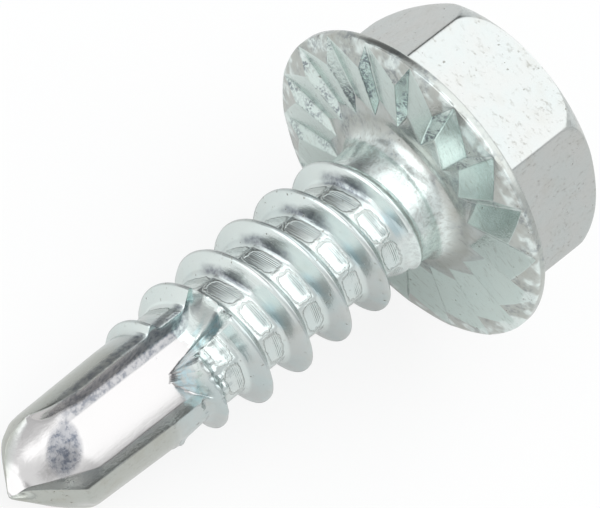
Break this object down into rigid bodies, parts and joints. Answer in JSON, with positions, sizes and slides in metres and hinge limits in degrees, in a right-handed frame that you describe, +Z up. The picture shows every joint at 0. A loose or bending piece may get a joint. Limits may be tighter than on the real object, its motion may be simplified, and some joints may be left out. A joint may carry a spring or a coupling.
{
  "type": "self drilling screw",
  "caption": "Hexagon flange head self-drilling screw: saw teeth under the flange, a coarse tapping thread and a fluted drill point that cuts its own hole in sheet metal.",
  "frame": {"origin": "on the table, under the middle of the bounding box of the lying screw", "axes": "+X is the horizontal run of the screw's axis from the drill point to the head, +Z is up; the screw's axis rises about 16 degrees from the point to the head and lies in the XZ plane"},
  "size_m": [0.0203, 0.0104, 0.0101],
  "materials": {
    "zinc": "bright zinc plating"
  },
  "bodies": {
    "root": {"self_drilling_screw": "zinc"}
  },
  "joints": []
}
